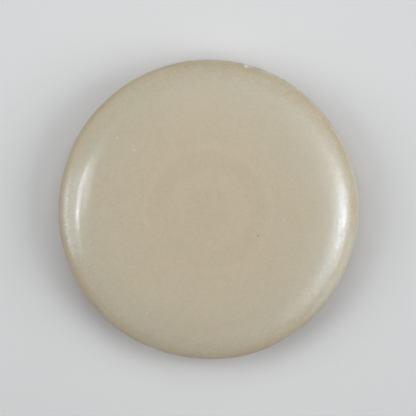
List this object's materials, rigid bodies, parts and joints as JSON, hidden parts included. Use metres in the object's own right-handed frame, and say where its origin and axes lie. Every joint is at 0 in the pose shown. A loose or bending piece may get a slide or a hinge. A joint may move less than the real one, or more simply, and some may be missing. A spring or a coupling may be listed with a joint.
{
  "type": "dealer button",
  "caption": "Round reversible table marker with flat faces and a full rounded edge: two bonded cream plastic half shells round a steel weight.",
  "frame": {"origin": "centre of the rear resting face, on the table surface", "axes": "+Z through the button from the rear face to the front face; X and Y are in the plane of the table and interchangeable, because every piece is turned about Z"},
  "size_m": [0.0508, 0.0508, 0.0095],
  "materials": {
    "shell_plastic": "satin",
    "cured_adhesive": "gloss",
    "slug_steel": "satin",
    "bond_film": "matte",
    "soft_foam": "matte"
  },
  "bodies": {
    "root": {"rear_shell": "shell_plastic", "front_shell": "shell_plastic", "seam_adhesive": "cured_adhesive", "weight_slug": "slug_steel", "slug_bond_pad": "bond_film", "damping_pad": "soft_foam"}
  },
  "joints": []
}
